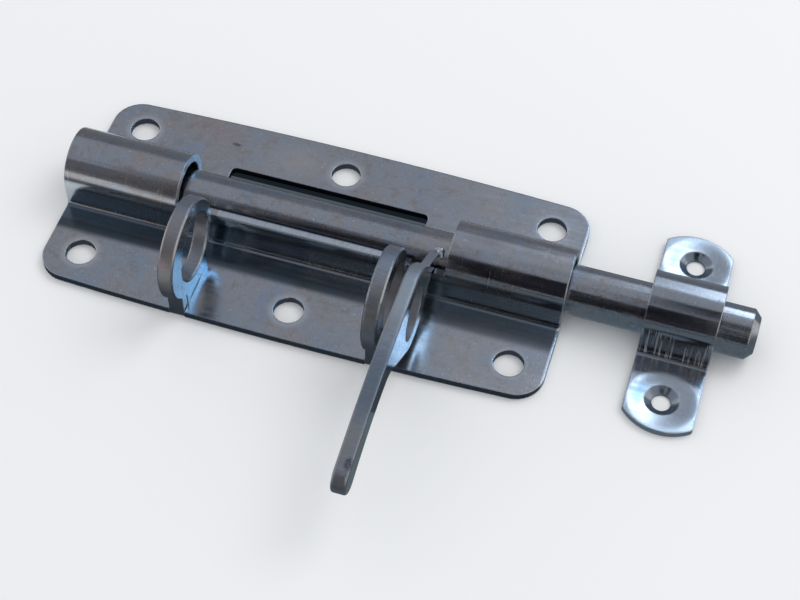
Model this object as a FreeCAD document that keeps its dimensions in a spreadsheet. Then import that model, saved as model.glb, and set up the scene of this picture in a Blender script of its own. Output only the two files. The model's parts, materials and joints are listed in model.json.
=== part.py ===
import FreeCAD, Part
import math
import os

import Sketcher

# Padbolt lying on its back, millimetres. The mounting plane is z = 0, X runs along the
# bolt towards the keeper, Y points away from the lever, and the origin is the centre of
# the back plate on its back face.

SIZES = {
    # back plate, pressed from one sheet
    "plate_length": 140.0,
    "plate_middle_width": 67.6,
    "plate_edge_bow": 1.4,
    "plate_corner_radius": 8.0,
    "sheet_thickness": 2.0,
    "screw_hole_radius": 4.1,
    "screw_end_inset": 10.0,
    "screw_corner_pitch": 46.4,
    "screw_middle_pitch": 49.0,
    # round bolt
    "bolt_radius": 6.8,
    "bolt_y": 1.1,
    "bolt_tail_x": -66.2,
    "bolt_length": 186.0,
    "bolt_nose_chamfer": 1.9,
    "bolt_tail_chamfer": 0.8,
    # tunnels raised over the bolt
    "tunnel_side_clearance": 0.7,
    "tunnel_floor_clearance": 0.4,
    "tunnel_headroom": 2.8,
    "tunnel_foot_radius": 1.2,
    # slot in the far flange, and the stub of the far wall beside it
    "slot_left_x": -31.2,
    "slot_right_x": 26.4,
    "slot_width": 9.0,
    "slot_corner_radius": 1.5,
    "far_wall_height": 3.0,
    # dips in the near wall, where the lever's tongue comes to rest
    "dip_depth": 0.9,
    "left_dip_play": 3.2,
    "lever_ear_gap": 2.5,
    "lever_tunnel_gap": 3.0,
    "tongue_rest_gap": 0.25,
    # padlock ears
    "left_ear_x": -28.2,
    "right_ear_x": 26.2,
    "ear_thickness": 4.2,
    "ear_radius": 13.8,
    "ear_wall_gap": 1.7,
    "ear_height": 15.4,
    "ear_hole_radius": 9.2,
    "ear_hole_shift": 1.9,
    "ear_hole_drop": 1.4,
    "ear_foot_far": 7.5,
    "ear_foot_near": 6.4,
    "tenon_width": 2.6,
    "tenon_edge_inset": 0.5,
    "tenon_clearance": 0.1,
    "ear_edge_chamfer": 0.45,
    # lever: flat ring and handle, and the tongue that joins them to the bolt
    "lever_thickness": 4.0,
    "lever_ring_radius": 11.6,
    "lever_ring_shift": 0.9,
    "lever_ring_drop": 0.8,
    "lever_hole_radius": 7.3,
    "lever_hole_shift": 1.1,
    "lever_hole_rise": 0.3,
    "lever_wall_gap": 0.6,
    "shoulder_slant": 3.0,
    "neck_angle": 38.0,
    "neck_drop": 9.0,
    "neck_radius": 8.0,
    "handle_length": 56.8,
    "handle_crown_radius": 280.0,
    "handle_tip_radius": 4.4,
    "lever_edge_round": 0.7,
    "tongue_thickness": 2.4,
    "tongue_angle": 34.0,
    "tongue_depth": 3.4,
    "tongue_rise": 3.2,
    "tongue_lap": 4.0,
    "tongue_seat_gap": 0.15,
    # keeper strap
    "keeper_nose_reach": 10.1,
    "keeper_width": 18.8,
    "keeper_length": 64.4,
    "keeper_thickness": 1.8,
    "keeper_side_clearance": 0.8,
    "keeper_side_shift": 0.5,
    "keeper_headroom": 3.4,
    "keeper_foot_radius": 1.8,
    "keeper_end_radius": 13.5,
    "keeper_end_skew": 1.0,
    "keeper_corner_radius": 1.2,
    "keeper_screw_pitch": 45.4,
    "keeper_screw_radius": 2.5,
    "keeper_sink_radius": 4.6,
    "keeper_sink_angle": 115.0,
}

doc = FreeCAD.newDocument("padbolt")


def make_sheet():
    """Write every size into the sheet, one labelled row each."""
    sheet = doc.addObject("Spreadsheet::Sheet", "sizes")
    for row, (name, value) in enumerate(SIZES.items(), start=1):
        sheet.set("A%d" % row, name.replace("_", " "))
        sheet.set("B%d" % row, str(value))
        sheet.setAlias("B%d" % row, name)
    doc.recompute()
    return sheet


class Size:
    """A number together with the expression that gives it from the sheet."""

    def __init__(self, value, text):
        self.value = value
        self.text = text

    @staticmethod
    def of(other):
        return other if isinstance(other, Size) else Size(float(other), repr(float(other)))

    def combine(self, other, sign, value):
        return Size(value, "(%s %s %s)" % (self.text, sign, other.text))

    def __add__(self, other):
        other = Size.of(other)
        return self.combine(other, "+", self.value + other.value)

    def __radd__(self, other):
        return Size.of(other) + self

    def __sub__(self, other):
        other = Size.of(other)
        return self.combine(other, "-", self.value - other.value)

    def __rsub__(self, other):
        return Size.of(other) - self

    def __mul__(self, other):
        other = Size.of(other)
        return self.combine(other, "*", self.value * other.value)

    def __rmul__(self, other):
        return Size.of(other) * self

    def __truediv__(self, other):
        other = Size.of(other)
        return self.combine(other, "/", self.value / other.value)

    def __neg__(self):
        return Size(-self.value, "(0 - %s)" % self.text)


def root(size):
    """Square root of a size."""
    return Size(math.sqrt(size.value), "sqrt(%s)" % size.text)


def sine(angle):
    """Sine of a size in degrees."""
    return Size(math.sin(math.radians(angle.value)), "sin(%s * 1 deg)" % angle.text)


def cosine(angle):
    """Cosine of a size in degrees."""
    return Size(math.cos(math.radians(angle.value)), "cos(%s * 1 deg)" % angle.text)


def leg(hypotenuse, side):
    """The other short side of a right triangle."""
    return root(hypotenuse * hypotenuse - side * side)


def touch(centre, radius, point, side):
    """Where the line from a point touches a circle, on the side (1 or -1) counted
    anticlockwise from the line to the point."""
    y = point[0] - centre[0]
    z = point[1] - centre[1]
    square = y * y + z * z
    along = radius * radius / square
    aside = radius * root(square - radius * radius) / square * side
    return centre[0] + y * along - z * aside, centre[1] + z * along + y * aside


def bind(thing, prop, size):
    """Tie a property of an object to its expression."""
    thing.setExpression(prop, size.text)


def plane_of(body, role):
    """The body's own origin plane with this role."""
    return next(f for f in body.Origin.OriginFeatures if f.Role == role)


def new_sketch(body, role, name, offset=None):
    """A sketch on an origin plane, moved along the plane's normal by offset."""
    sketch = body.newObject("Sketcher::SketchObject", name)
    sketch.AttachmentSupport = [(plane_of(body, role), "")]
    sketch.MapMode = "FlatFace"
    if offset is not None:
        bind(sketch, "AttachmentOffset.Base.z", offset)
    return sketch


def set_datum(sketch, kind, items, size):
    """Add one dimension to a sketch and bind it."""
    index = sketch.addConstraint(Sketcher.Constraint(kind, *items, size.value))
    bind(sketch, "Constraints[%d]" % index, size)


def fix_point(sketch, geometry, position, point):
    """Place a vertex by its two coordinates."""
    set_datum(sketch, "DistanceX", (geometry, position), point[0])
    set_datum(sketch, "DistanceY", (geometry, position), point[1])


def draw_circle(sketch, centre, radius):
    """A full circle with a bound centre and radius."""
    middle = FreeCAD.Vector(centre[0].value, centre[1].value, 0)
    circle = Part.Circle(middle, FreeCAD.Vector(0, 0, 1), radius.value)
    index = sketch.addGeometry(circle, False)
    fix_point(sketch, index, 3, centre)
    set_datum(sketch, "Radius", (index,), radius)


def arc_between(start, end, radius, left):
    """An arc of less than half a turn, with its centre left or right of the way it runs."""
    chord = end.sub(start)
    half = chord.Length / 2
    rise = math.sqrt(max(radius * radius - half * half, 0.0))
    side = FreeCAD.Vector(-chord.y, chord.x, 0).normalize()
    middle = start.add(end).multiply(0.5)
    centre = middle.add(side.multiply(rise if left else -rise))
    first, last = (start, end) if left else (end, start)
    angles = [math.atan2(p.y - centre.y, p.x - centre.x) for p in (first, last)]
    circle = Part.Circle(centre, FreeCAD.Vector(0, 0, 1), radius)
    return Part.ArcOfCircle(circle, angles[0], angles[1])


def draw_outline(sketch, steps):
    """A closed outline. A step is a point, or a point with the radius of the arc that
    leads to it and the side, left or right, on which that arc has its centre."""
    points = [step[:2] for step in steps]
    vectors = [FreeCAD.Vector(x.value, y.value, 0) for x, y in points]
    ends = []
    for number, step in enumerate(steps):
        start = vectors[number - 1]
        end = vectors[number]
        if len(step) == 2:
            index = sketch.addGeometry(Part.LineSegment(start, end), False)
            ends.append((index, 1, 2))
        else:
            left = step[3] == "left"
            arc = arc_between(start, end, step[2].value, left)
            index = sketch.addGeometry(arc, False)
            ends.append((index, 1, 2) if left else (index, 2, 1))
    for number, (index, first, last) in enumerate(ends):
        before = ends[number - 1]
        sketch.addConstraint(Sketcher.Constraint("Coincident", before[0], before[2], index, first))
        fix_point(sketch, index, last, points[number])
    for number, step in enumerate(steps):
        if len(step) > 2:
            set_datum(sketch, "Radius", (ends[number][0],), step[2])


def new_body(label):
    """An empty body for one physical piece."""
    body = doc.addObject("PartDesign::Body", label)
    body.Label = label
    return body


def pad(body, sketch, length, name):
    """Pad a sketch by half the length to each side of its plane."""
    feature = body.newObject("PartDesign::Pad", name)
    feature.Profile = sketch
    feature.Midplane = True
    bind(feature, "Length", length)
    doc.recompute()
    return feature


def cut(body, sketch, length, name):
    """Cut a sketch out of the body, half the length to each side of its plane."""
    before = body.Shape.Volume
    feature = body.newObject("PartDesign::Pocket", name)
    feature.Profile = sketch
    feature.Midplane = True
    bind(feature, "Length", length)
    doc.recompute()
    if not body.Shape.Volume < before - 1e-6:
        raise ValueError("%s removed nothing" % name)
    return feature


def dress_edges(body, feature, wanted, kind, size, name):
    """Fillet or chamfer the edges of a feature that the test picks."""
    names = ["Edge%d" % (i + 1) for i, e in enumerate(feature.Shape.Edges) if wanted(e)]
    dressing = body.newObject("PartDesign::" + kind, name)
    dressing.Base = (feature, names)
    bind(dressing, "Radius" if kind == "Fillet" else "Size", size)
    doc.recompute()
    return dressing


def strap_section(sketch, arch, sheet_thickness, foot_radius, half_width):
    """Section of a sheet that rises over the bolt: two flat flanges, tight foot bends,
    upright walls and a round top. arch is the top's centre and its inner radius."""
    y, z, inner = arch
    outer = inner + sheet_thickness
    bend_z = sheet_thickness + foot_radius
    bend_radius = sheet_thickness + foot_radius
    toe = outer + foot_radius
    zero = Size.of(0)
    draw_outline(sketch, [
        (-half_width, sheet_thickness),
        (y - toe, sheet_thickness),
        (y - outer, bend_z, foot_radius, "left"),
        (y - outer, z),
        (y, z + outer, outer, "right"),
        (y + outer, z, outer, "right"),
        (y + outer, bend_z),
        (y + toe, sheet_thickness, foot_radius, "left"),
        (half_width, sheet_thickness),
        (half_width, zero),
        (y + toe, zero),
        (y + inner, bend_z, bend_radius, "right"),
        (y + inner, z),
        (y, z + inner, inner, "left"),
        (y - inner, z, inner, "left"),
        (y - inner, bend_z),
        (y - toe, zero, bend_radius, "right"),
        (-half_width, zero),
    ])


class Layout:
    """Places and sizes that several pieces share, worked out from the sheet."""

    def __init__(self, size):
        sheet_thickness = size["sheet_thickness"]
        self.bolt_y = size["bolt_y"]
        self.bolt_z = size["bolt_radius"] + size["tunnel_floor_clearance"]
        self.bolt_top = self.bolt_z + size["bolt_radius"]
        self.inner = size["bolt_radius"] + size["tunnel_side_clearance"]
        self.outer = self.inner + sheet_thickness
        self.arch_z = self.bolt_top + size["tunnel_headroom"] - self.inner
        self.top_z = self.arch_z + self.outer
        self.bolt_tip = size["bolt_tail_x"] + size["bolt_length"]

        # the tongue slants up from the bolt and rests just over the wall's inner edge
        self.tongue_angle = size["tongue_angle"]
        self.tongue_low = size["tongue_rise"] - size["tongue_depth"]
        rise = cosine(self.tongue_angle)
        rest = self.tongue_low - size["tongue_rest_gap"] - (self.arch_z - self.bolt_z) * rise
        self.dip_z = self.arch_z + rest * rise + leg(self.inner, rest) * sine(self.tongue_angle)
        self.wall_z = self.dip_z + size["dip_depth"]

        # the ears stand beside the near wall, their tenons in the near edge's open slots
        self.wall_outside = self.bolt_y - self.outer
        self.ear_y = self.wall_outside - size["ear_wall_gap"] - size["ear_radius"]
        self.tenon_near = size["tenon_edge_inset"] - size["plate_middle_width"] / 2
        self.tenon_far = self.tenon_near + size["tenon_width"]
        self.ear_z = sheet_thickness + size["ear_height"]
        self.ear_hole_y = self.ear_y + size["ear_hole_shift"]
        self.ear_hole_z = self.ear_z - size["ear_hole_drop"]

        # along the bolt: left tunnel, dip, left ear, right ear, lever, right tunnel
        half_ear = size["ear_thickness"] / 2
        self.left_ear_outside = size["left_ear_x"] - half_ear
        self.right_ear_outside = size["right_ear_x"] + half_ear
        self.lever_x = self.right_ear_outside + size["lever_ear_gap"] + size["lever_thickness"] / 2
        self.lever_right = self.lever_x + size["lever_thickness"] / 2
        self.window_right = self.lever_right + size["lever_tunnel_gap"]
        travel = size["lever_thickness"] + size["left_dip_play"]
        self.window_left = self.left_ear_outside - travel

        # the lever's ring lines up with the ears' rings
        self.ring_y = self.ear_y - size["lever_ring_shift"]
        self.ring_z = self.ear_z - size["lever_ring_drop"]

    def on_tongue(self, distance, side):
        """Point at this distance from the bolt's axis along the tongue, and this far to
        its upper side."""
        y = self.bolt_y - distance * cosine(self.tongue_angle) + side * sine(self.tongue_angle)
        z = self.bolt_z + distance * sine(self.tongue_angle) + side * cosine(self.tongue_angle)
        return y, z

    def tongue_distance(self, y, side):
        """Distance along the tongue at which that side of it reaches a given y."""
        across = self.bolt_y - y + side * sine(self.tongue_angle)
        return across / cosine(self.tongue_angle)


def make_back_plate(size, layout):
    """Plate with its two tunnels, window, slot, dips, tenon slots and screw holes."""
    body = new_body("back_plate")
    half_length = size["plate_length"] / 2
    half_width = size["plate_middle_width"] / 2
    blank_half_width = half_width + 5
    through = 4 * blank_half_width
    sheet_thickness = size["sheet_thickness"]

    section = new_sketch(body, "YZ_Plane", "plate_section")
    arch = (layout.bolt_y, layout.arch_z, layout.inner)
    strap_section(section, arch, sheet_thickness, size["tunnel_foot_radius"], blank_half_width)
    pad(body, section, size["plate_length"], "plate_pressing")

    # long edges bow outward between the corner rounds
    corner = size["plate_corner_radius"]
    run = half_length - corner
    bow = size["plate_edge_bow"]
    shoulder = half_width - bow
    bow_radius = (run * run + bow * bow) / (2 * bow)
    outline = new_sketch(body, "XY_Plane", "plate_outline")
    far_x = half_length + 5
    far_y = blank_half_width + 5
    draw_outline(outline, [(far_x, -far_y), (far_x, far_y), (-far_x, far_y), (-far_x, -far_y)])
    draw_outline(outline, [
        (run, -shoulder, bow_radius, "left"),
        (half_length, corner - shoulder, corner, "left"),
        (half_length, shoulder - corner),
        (run, shoulder, corner, "left"),
        (-run, shoulder, bow_radius, "left"),
        (-half_length, shoulder - corner, corner, "left"),
        (-half_length, corner - shoulder),
        (-run, -shoulder, corner, "left"),
    ])
    cut(body, outline, 2 * layout.top_z + 2, "plate_trim")

    holes = new_sketch(body, "XY_Plane", "screw_holes")
    for x_side in (-1, 0, 1):
        for y_side in (-1, 1):
            pitch = size["screw_corner_pitch"] if x_side else size["screw_middle_pitch"]
            centre = ((half_length - size["screw_end_inset"]) * x_side, pitch / 2 * y_side)
            draw_circle(holes, centre, size["screw_hole_radius"])
    cut(body, holes, 3 * sheet_thickness, "screw_hole_cut")

    # window over the bolt
    left = layout.window_left
    right = layout.window_right
    above = layout.top_z + 5
    window = new_sketch(body, "XZ_Plane", "window_side")
    draw_outline(window, [
        (right, layout.wall_z), (right, above), (left, above), (left, layout.wall_z),
    ])
    cut(body, window, through, "window_cut")

    # on the far side the window runs on into the flange as a slot
    slot = new_sketch(body, "XY_Plane", "slot_outline")
    slot_round = size["slot_corner_radius"]
    slot_right = size["slot_right_x"]
    slot_left = size["slot_left_x"]
    slot_far = layout.bolt_y + layout.outer + size["slot_width"] - sheet_thickness
    draw_outline(slot, [
        (slot_right, layout.bolt_y),
        (slot_right, slot_far - slot_round),
        (slot_right - slot_round, slot_far, slot_round, "left"),
        (slot_left + slot_round, slot_far),
        (slot_left, slot_far - slot_round, slot_round, "left"),
        (slot_left, layout.bolt_y),
    ])
    cut(body, slot, 2 * above, "slot_cut")

    # beside the slot only a low stub of the far wall is left
    stub = new_sketch(body, "XY_Plane", "far_wall_outline", sheet_thickness + above)
    wall_far = layout.bolt_y + layout.outer + sheet_thickness
    draw_outline(stub, [
        (right, layout.bolt_y), (right, wall_far), (left, wall_far), (left, layout.bolt_y),
    ])
    cut(body, stub, 2 * (above - size["far_wall_height"]), "far_wall_cut")

    # outside each ear the near wall dips, and the lever's tongue drops into the dip
    dips = new_sketch(body, "XZ_Plane", "wall_dips")
    for start, end in ((left, layout.left_ear_outside), (layout.right_ear_outside, right)):
        draw_outline(dips, [
            (end, layout.dip_z), (end, above), (start, above), (start, layout.dip_z),
        ])
    cut(body, dips, through, "wall_dip_cut")

    # open slots in the near edge take the ears' tenons
    tenons = new_sketch(body, "XY_Plane", "tenon_slots")
    reach = size["ear_thickness"] / 2 + size["tenon_clearance"]
    slot_end = layout.tenon_far + size["tenon_clearance"]
    for name in ("left_ear_x", "right_ear_x"):
        x = size[name]
        draw_outline(tenons, [
            (x + reach, -far_y), (x + reach, slot_end), (x - reach, slot_end), (x - reach, -far_y),
        ])
    cut(body, tenons, 3 * sheet_thickness, "tenon_slot_cut")
    return body


def make_ear(size, layout, label, x):
    """Upright ring for the padlock: flat foot on the plate, tenon in the plate's edge."""
    body = new_body(label)
    radius = size["ear_radius"]
    thickness = size["ear_thickness"]
    y = layout.ear_y
    z = layout.ear_z
    base = size["sheet_thickness"]
    foot_near = y - size["ear_foot_near"]
    foot_far = y + size["ear_foot_far"]
    zero = Size.of(0)

    # the edges of the rim are broken on both faces before the foot and the tenon join it
    def is_circle(edge):
        return edge.Closed

    disc = new_sketch(body, "YZ_Plane", label + "_disc", x)
    draw_circle(disc, (y, z), radius)
    blank = pad(body, disc, thickness, label + "_blank")
    chamfer = size["ear_edge_chamfer"]
    dress_edges(body, blank, is_circle, "Chamfer", chamfer, label + "_rim_chamfers")
    for name, near, far, low in (
        ("_foot", foot_near, foot_far, base),
        ("_tenon", layout.tenon_near, layout.tenon_far, zero),
    ):
        below = new_sketch(body, "YZ_Plane", label + name + "_face", x)
        draw_outline(below, [(near, low), (far, low), (far, z), (near, z)])
        pad(body, below, thickness, label + name)
    hole = new_sketch(body, "YZ_Plane", label + "_hole_face", x)
    draw_circle(hole, (layout.ear_hole_y, layout.ear_hole_z), size["ear_hole_radius"])
    ring = cut(body, hole, 2 * thickness, label + "_hole")

    # and those of the hole after it is cut through all three
    def on_hole(edge):
        centre = (layout.ear_hole_y.value, layout.ear_hole_z.value)
        middle = edge.CenterOfMass
        return edge.Closed and math.dist(centre, (middle.y, middle.z)) < 0.01

    dress_edges(body, ring, on_hole, "Chamfer", chamfer, label + "_hole_chamfers")
    return body


def make_bolt(size, layout):
    """Plain round bar with a chamfered nose and a broken tail edge."""
    body = new_body("bolt_rod")
    radius = size["bolt_radius"]
    tail = size["bolt_tail_x"]
    tip = layout.bolt_tip
    nose = size["bolt_nose_chamfer"]
    heel = size["bolt_tail_chamfer"]
    zero = Size.of(0)
    half = new_sketch(body, "XZ_Plane", "bolt_half_section", -layout.bolt_y)
    bind(half, "AttachmentOffset.Base.y", layout.bolt_z)
    draw_outline(half, [
        (tail, zero),
        (tip, zero),
        (tip, radius - nose),
        (tip - nose, radius),
        (tail + heel, radius),
        (tail, radius - heel),
    ])
    turned = body.newObject("PartDesign::Revolution", "bolt_turning")
    turned.Profile = half
    turned.ReferenceAxis = (half, ["H_Axis"])
    turned.Angle = 360
    doc.recompute()
    return body


def make_lever(size, layout):
    """Flat ring and long handle, carried on the bolt by a joggled tongue."""
    body = new_body("lever")
    radius = size["lever_ring_radius"]
    y = layout.ring_y
    z = layout.ring_z

    # the ring ends short of the wall, in a heel below and a shoulder above
    low = layout.tongue_low
    high = size["tongue_rise"]
    heel_y = layout.wall_outside - size["lever_wall_gap"]
    shoulder_y = heel_y - size["shoulder_slant"]
    heel = layout.on_tongue(layout.tongue_distance(heel_y, low), low)
    shoulder_distance = layout.tongue_distance(shoulder_y, high)
    shoulder = layout.on_tongue(shoulder_distance, high)

    # the top edge is one long arc from the crest; the tip is a smaller arc tangent to it
    crest = z + radius
    crown = size["handle_crown_radius"]
    tip = size["handle_tip_radius"]
    crown_z = crest - crown
    tip_y = y - size["handle_length"] + tip
    tip_z = crown_z + leg(crown - tip, tip_y - y)
    top_share = tip / (crown - tip)
    tip_top = (tip_y + (tip_y - y) * top_share, tip_z + (tip_z - crown_z) * top_share)

    # under the ring the edge climbs to a neck, runs level and sweeps down to the tip
    angle = size["neck_angle"]
    lift_y = y - radius * sine(angle)
    lift_z = z - radius * cosine(angle)
    neck_z = crest - size["neck_drop"]
    neck_y = lift_y - (neck_z - lift_z) * cosine(angle) / sine(angle)
    neck = size["neck_radius"]
    reach = neck * (1 - cosine(angle)) / sine(angle)
    sweep_y = neck_y - reach
    across = tip_y - sweep_y
    fall = tip_z - neck_z
    sweep = (across * across + fall * fall - tip * tip) / (2 * (tip - fall))
    low_share = tip / (sweep + tip)
    tip_low = (tip_y - across * low_share, tip_z - (fall + sweep) * low_share)
    upper = touch((y, z), radius, shoulder, 1)
    lower = touch((y, z), radius, heel, -1)

    face = new_sketch(body, "YZ_Plane", "lever_face", layout.lever_x)
    draw_outline(face, [
        heel,
        shoulder,
        upper,
        (y, crest, radius, "left"),
        (*tip_top, crown, "left"),
        (tip_y - tip, tip_z, tip, "left"),
        (*tip_low, tip, "left"),
        (sweep_y, neck_z, sweep, "right"),
        (neck_y + reach * cosine(angle), neck_z - reach * sine(angle), neck, "right"),
        (lift_y, lift_z),
        (y, z - radius, radius, "left"),
        (*lower, radius, "left"),
    ])
    hole_y = y - size["lever_hole_shift"]
    hole_z = z + size["lever_hole_rise"]
    draw_circle(face, (hole_y, hole_z), size["lever_hole_radius"])
    blank = pad(body, face, size["lever_thickness"], "lever_blank")

    # the long edges of ring and handle are rounded
    def on_outline(edge):
        middle = edge.CenterOfMass
        crosswise = abs(edge.tangentAt(edge.FirstParameter).x) > 0.5
        return not crosswise and not edge.Closed and middle.y < upper[0].value

    dress_edges(body, blank, on_outline, "Fillet", size["lever_edge_round"], "lever_rounds")

    # the tongue is thinner, flush with the ring's right face; its end is hollowed to sit
    # on the bolt and its root is sunk in the ring's shoulder
    seat = size["bolt_radius"] + size["tongue_seat_gap"]
    root_end = shoulder_distance + size["tongue_lap"]
    tongue_x = layout.lever_right - size["tongue_thickness"] / 2
    tongue = new_sketch(body, "YZ_Plane", "tongue_face", tongue_x)
    draw_outline(tongue, [
        layout.on_tongue(leg(seat, low), low),
        (*layout.on_tongue(leg(seat, high), high), seat, "right"),
        shoulder,
        layout.on_tongue(root_end, low + size["tongue_lap"] / 4),
        heel,
    ])
    pad(body, tongue, size["tongue_thickness"], "tongue")
    return body


def make_keeper(size, layout):
    """Strap that receives the bolt: arch, flanges with round ends, countersunk holes."""
    body = new_body("keeper")
    thickness = size["keeper_thickness"]
    half_width = size["keeper_width"] / 2
    half_length = size["keeper_length"] / 2
    x = layout.bolt_tip - size["keeper_nose_reach"] - half_width
    y = layout.bolt_y - size["keeper_side_shift"]
    inner = size["bolt_radius"] + size["keeper_side_clearance"]
    arch_z = layout.bolt_top + size["keeper_headroom"] - inner
    section = new_sketch(body, "YZ_Plane", "keeper_section", x)
    bind(section, "AttachmentOffset.Base.x", y)
    arch = (Size.of(0), arch_z, inner)
    strap_section(section, arch, thickness, size["keeper_foot_radius"], half_length + 1)
    pad(body, section, size["keeper_width"], "keeper_pressing")

    # both ends are cut to a flat arc, set a little off centre, with rounded corners
    end = size["keeper_end_radius"]
    corner = size["keeper_corner_radius"]
    skew = size["keeper_end_skew"]
    centre_y = half_length - end
    inset = half_width - corner
    outline = new_sketch(body, "XY_Plane", "keeper_outline")
    bind(outline, "AttachmentOffset.Base.x", x)
    bind(outline, "AttachmentOffset.Base.y", y)

    def touching(offset):
        """Touch point of the end arc and a corner whose centre is this far from the
        arc's centre, across the strap, and the corner centre's own distance along it."""
        rise = leg(end - corner, offset)
        share = end / (end - corner)
        return offset * share, centre_y + rise * share, centre_y + rise

    wide = touching(inset + skew)
    close = touching(inset - skew)
    far_x = half_width + 5
    far_y = half_length + 5
    draw_outline(outline, [(far_x, -far_y), (far_x, far_y), (-far_x, far_y), (-far_x, -far_y)])
    draw_outline(outline, [
        (skew + close[0], -close[1], end, "left"),
        (half_width, -close[2], corner, "left"),
        (half_width, wide[2]),
        (wide[0] - skew, wide[1], corner, "left"),
        (-skew - close[0], close[1], end, "left"),
        (-half_width, close[2], corner, "left"),
        (-half_width, -wide[2]),
        (skew - wide[0], -wide[1], corner, "left"),
    ])
    top_z = arch_z + inner + thickness
    cut(body, outline, 2 * top_z + 2, "keeper_trim")

    # countersunk screw holes
    places = new_sketch(body, "XY_Plane", "keeper_hole_places", thickness)
    bind(places, "AttachmentOffset.Base.x", x)
    bind(places, "AttachmentOffset.Base.y", y)
    for side in (-1, 1):
        centre = (Size.of(0), size["keeper_screw_pitch"] / 2 * side)
        draw_circle(places, centre, size["keeper_screw_radius"])
    doc.recompute()
    before = body.Shape.Volume
    holes = body.newObject("PartDesign::Hole", "keeper_screw_holes")
    holes.Profile = places
    doc.recompute()
    holes.Threaded = False
    holes.DepthType = "ThroughAll"
    holes.HoleCutType = "Countersink"
    holes.HoleCutCustomValues = True
    bind(holes, "Diameter", 2 * size["keeper_screw_radius"])
    bind(holes, "HoleCutDiameter", 2 * size["keeper_sink_radius"])
    bind(holes, "HoleCutCountersinkAngle", size["keeper_sink_angle"])
    doc.recompute()
    if not body.Shape.Volume < before - 1e-6:
        raise ValueError("the keeper's screw holes removed nothing")
    return body


def check(objects):
    """Stop at the first object that failed and at any sub-part without a sound solid."""
    for item in doc.Objects:
        if "Invalid" in item.State or "Error" in item.State:
            raise RuntimeError("%s failed to recompute" % item.Name)
    for item in objects:
        if item.Shape.isNull() or not item.Shape.isValid() or len(item.Shape.Solids) != 1:
            raise RuntimeError("%s has no sound shape" % item.Label)


def main():
    sheet = make_sheet()
    size = {name: Size(sheet.get(name), "sizes." + name) for name in SIZES}
    layout = Layout(size)
    pieces = [
        make_back_plate(size, layout),
        make_ear(size, layout, "left_ear", size["left_ear_x"]),
        make_ear(size, layout, "right_ear", size["right_ear_x"]),
        make_bolt(size, layout),
        make_lever(size, layout),
        make_keeper(size, layout),
    ]
    doc.recompute()
    check(pieces)
    os.makedirs("parts", exist_ok=True)
    for piece in pieces:
        piece.Shape.exportStep(os.path.join("parts", piece.Label + ".step"))
        box = piece.Shape.optimalBoundingBox()
        spans = (box.XMin, box.XMax, box.YMin, box.YMax, box.ZMin, box.ZMax)
        print("%-12s %9.1f mm3" % (piece.Label, piece.Shape.Volume), *["%.2f" % s for s in spans])


main()
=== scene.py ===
import json
import math

import bmesh
import bpy
from bpy.props import FloatProperty, FloatVectorProperty, PointerProperty
from bpy.types import Operator, Panel, PropertyGroup
from mathutils import Matrix, Vector


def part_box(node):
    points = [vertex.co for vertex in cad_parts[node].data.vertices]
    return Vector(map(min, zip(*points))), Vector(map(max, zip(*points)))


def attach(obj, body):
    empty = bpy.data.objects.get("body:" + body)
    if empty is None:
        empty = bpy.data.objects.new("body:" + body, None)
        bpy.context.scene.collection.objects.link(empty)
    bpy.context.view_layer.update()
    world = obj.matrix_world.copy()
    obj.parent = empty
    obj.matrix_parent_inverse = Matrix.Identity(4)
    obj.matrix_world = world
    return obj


bl_info = {
    "name": "Padbolt",
    "version": (1, 0, 0),
    "blender": (4, 5, 0),
    "location": "View3D > Sidebar > Padbolt",
    "description": "Zinc-plated padbolt with its keeper, on a pale studio stage",
    "category": "Object",
}

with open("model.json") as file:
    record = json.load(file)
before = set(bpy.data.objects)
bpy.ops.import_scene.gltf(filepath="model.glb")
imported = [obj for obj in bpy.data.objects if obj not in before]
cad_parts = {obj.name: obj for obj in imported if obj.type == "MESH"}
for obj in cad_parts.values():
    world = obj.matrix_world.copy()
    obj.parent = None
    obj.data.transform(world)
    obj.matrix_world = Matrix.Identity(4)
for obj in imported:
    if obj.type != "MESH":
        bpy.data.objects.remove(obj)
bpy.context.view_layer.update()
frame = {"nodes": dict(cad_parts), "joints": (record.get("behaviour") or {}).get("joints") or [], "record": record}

MM = 0.001
X, Y, Z = range(3)


def span(node, axis):
    """Lowest and highest place of a CAD node along an axis, in millimetres."""
    return [corner[axis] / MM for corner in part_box(node)]


def named(entries, name):
    """The entry of this name."""
    return next(entry for entry in entries if entry["name"] == name)


def screw_holes(mount):
    """Centres of a mount's screw holes, in millimetres."""
    x, y = (place / MM for place in mount["pos_m"][:2])
    half_x = mount["dims"].get("spacing_x_mm", 0.0) / 2
    half_y = mount["dims"]["spacing_y_mm"] / 2
    moves = {(right * half_x, far * half_y) for right in (-1, 1) for far in (-1, 1)}
    return [(x + right, y + far) for right, far in sorted(moves)]


# places and sizes that the frame gives, in millimetres
MOUNTS = frame["record"]["mounts"]
CORNER_SCREWS = named(MOUNTS, "plate_corner_screws")
PLATE_HOLES = screw_holes(CORNER_SCREWS) + screw_holes(named(MOUNTS, "plate_middle_screws"))
PLATE_HOLE_RADIUS = CORNER_SCREWS["dims"]["hole_r_mm"]
KEEPER_HOLES = screw_holes(named(MOUNTS, "keeper_screws"))
KEEPER_MIDDLE = sum(span("keeper", Y)) / 2
PLATE_RIGHT = span("back_plate", X)[1]
LEFT_EAR = span("left_ear", X)
RIGHT_EAR = span("right_ear", X)
LEVER_RIGHT = span("lever", X)[1]
BOLT_AXIS = [place / MM for place in named(frame["joints"], "lever_turn")["pos_m"]]
BOLT_RADIUS = span("bolt_rod", Z)[1] - BOLT_AXIS[Z]

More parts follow.
